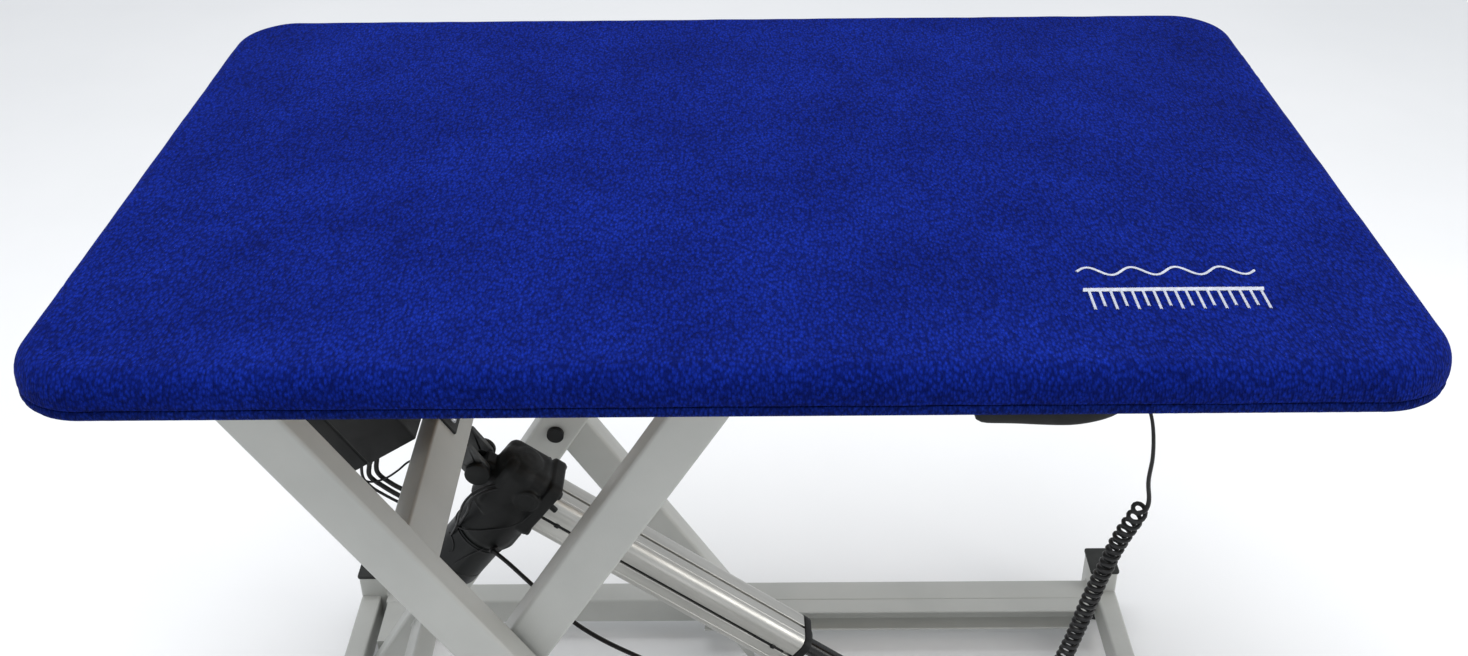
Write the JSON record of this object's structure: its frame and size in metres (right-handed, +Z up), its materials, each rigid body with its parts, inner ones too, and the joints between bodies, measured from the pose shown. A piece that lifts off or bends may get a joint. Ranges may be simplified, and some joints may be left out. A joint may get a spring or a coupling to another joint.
{
  "type": "grooming table",
  "caption": "Electric scissor-lift grooming table: a padded top with a fitted towelling cover on an X frame, raised by a linear actuator with a corded handset",
  "frame": {"origin": "on the floor under the middle of the table top", "axes": "+X to the right along the table, +Y to the back, +Z up; the fixed pivots are at -X and the handset hangs at the front, -Y"},
  "size_m": [1.1, 0.708, 0.8832],
  "materials": {
    "grey_paint": "light grey powder coat, fine orange peel",
    "black_plastic": "matt moulded black",
    "zinc_steel": "bright zinc plate",
    "aluminium": "natural anodised extrusion",
    "towelling": "royal blue terry towelling",
    "board": "sealed plywood",
    "rubber": "matt black rubber",
    "nylon": "turned black nylon",
    "cable": "black PVC jacket",
    "button_plastic": "dark grey key caps"
  },
  "bodies": {
    "base_frame": {"base_front_rail": "grey_paint", "base_rear_rail": "grey_paint", "base_left_rail": "grey_paint", "base_right_rail": "grey_paint", "base_front_track": "grey_paint", "base_rear_track": "grey_paint", "actuator_beam": "grey_paint", "lower_clevis": "grey_paint", "corner_posts": "grey_paint", "post_caps": "black_plastic", "rubber_feet": "rubber", "base_pivot_blocks": "grey_paint", "base_pivot_pins": "zinc_steel"},
    "inner_arm_pair": {"inner_arm_front": "grey_paint", "inner_arm_rear": "grey_paint", "inner_lower_tube": "grey_paint", "inner_upper_tube": "grey_paint", "inner_roller_axles": "zinc_steel", "inner_arm_plugs": "black_plastic"},
    "outer_arm_pair": {"outer_arm_front": "grey_paint", "outer_arm_rear": "grey_paint", "outer_cross_tube": "grey_paint", "upper_clevis": "grey_paint", "upper_clevis_pin": "zinc_steel", "centre_pivot_bolts": "black_plastic", "outer_roller_axles": "zinc_steel", "outer_arm_plugs": "black_plastic", "control_box": "black_plastic", "control_box_flange": "black_plastic", "control_cables": "cable"},
    "table_top": {"top_front_rail": "grey_paint", "top_rear_rail": "grey_paint", "top_left_rail": "grey_paint", "top_right_rail": "grey_paint", "top_front_track": "grey_paint", "top_rear_track": "grey_paint", "top_pivot_blocks": "grey_paint", "top_pivot_pins": "zinc_steel", "table_board": "board", "rubber_mat": "rubber", "fitted_cover": "towelling", "handset_clip": "black_plastic", "handset": "black_plastic", "cord_tail": "cable", "cord_coil": "cable", "cord_lead": "cable"},
    "base_roller_front_wheel": {"base_roller_front": "nylon"},
    "base_roller_rear_wheel": {"base_roller_rear": "nylon"},
    "top_roller_front_wheel": {"top_roller_front": "nylon"},
    "top_roller_rear_wheel": {"top_roller_rear": "nylon"},
    "actuator_body": {"gearbox_housing": "black_plastic", "motor": "black_plastic", "actuator_profile": "aluminium", "profile_end_cap": "black_plastic"},
    "actuator_ram": {"actuator_rod": "zinc_steel", "rod_eye": "zinc_steel", "lower_pin": "zinc_steel"},
    "up_key": {"up_button": "button_plastic"},
    "down_key": {"down_button": "button_plastic"}
  },
  "joints": [
    {"name": "lift", "type": "hinge", "parent": "base_frame", "child": "inner_arm_pair", "pos_m": [-0.456, 0, 0.045], "axis": [0, -1, 0], "range_deg": [-39, 0], "deforming": ["cord_tail", "cord_coil", "cord_lead"]},
    {"name": "arm_cross", "type": "hinge", "parent": "inner_arm_pair", "child": "outer_arm_pair", "pos_m": [-0.21224, 0, 0.4351], "axis": [0, -1, 0], "range_deg": [0, 78]},
    {"name": "top_tilt", "type": "hinge", "parent": "outer_arm_pair", "child": "table_top", "pos_m": [-0.456, 0, 0.8252], "axis": [0, -1, 0], "range_deg": [-39, 0]},
    {"name": "base_roller_front_spin", "type": "hinge", "parent": "outer_arm_pair", "child": "base_roller_front_wheel", "pos_m": [0.03153, -0.263, 0.045], "axis": [0, -1, 0], "continuous": true},
    {"name": "base_roller_rear_spin", "type": "hinge", "parent": "outer_arm_pair", "child": "base_roller_rear_wheel", "pos_m": [0.03153, 0.263, 0.045], "axis": [0, -1, 0], "continuous": true},
    {"name": "top_roller_front_spin", "type": "hinge", "parent": "inner_arm_pair", "child": "top_roller_front_wheel", "pos_m": [0.03153, -0.249, 0.8252], "axis": [0, -1, 0], "continuous": true},
    {"name": "top_roller_rear_spin", "type": "hinge", "parent": "inner_arm_pair", "child": "top_roller_rear_wheel", "pos_m": [0.03153, 0.249, 0.8252], "axis": [0, -1, 0], "continuous": true},
    {"name": "actuator_swing", "type": "hinge", "parent": "outer_arm_pair", "child": "actuator_body", "pos_m": [-0.26841, 0, 0.52499], "axis": [0, -1, 0], "range_deg": [-20.67, 0]},
    {"name": "rod_slide", "type": "slide", "parent": "actuator_body", "child": "actuator_ram", "axis": [0.7902, 0, -0.6128], "range_m": [-0.2748, 0]},
    {"name": "up_button_press", "type": "slide", "parent": "table_top", "child": "up_key", "axis": [0, 0, 1], "range_m": [0, 0.0015], "stiffness_N_per_m": 400, "springref_m": -0.001},
    {"name": "down_button_press", "type": "slide", "parent": "table_top", "child": "down_key", "axis": [0, 0, 1], "range_m": [0, 0.0015], "stiffness_N_per_m": 400, "springref_m": -0.001}
  ],
  "couplings": [
    {"joint": "arm_cross", "follows": "lift", "ratio": -2},
    {"joint": "top_tilt", "follows": "lift", "ratio": 1},
    {"joint": "actuator_swing", "follows": "lift", "ratio": 0.5287},
    {"joint": "rod_slide", "follows": "lift", "m_per_rad": 0.40292}
  ]
}
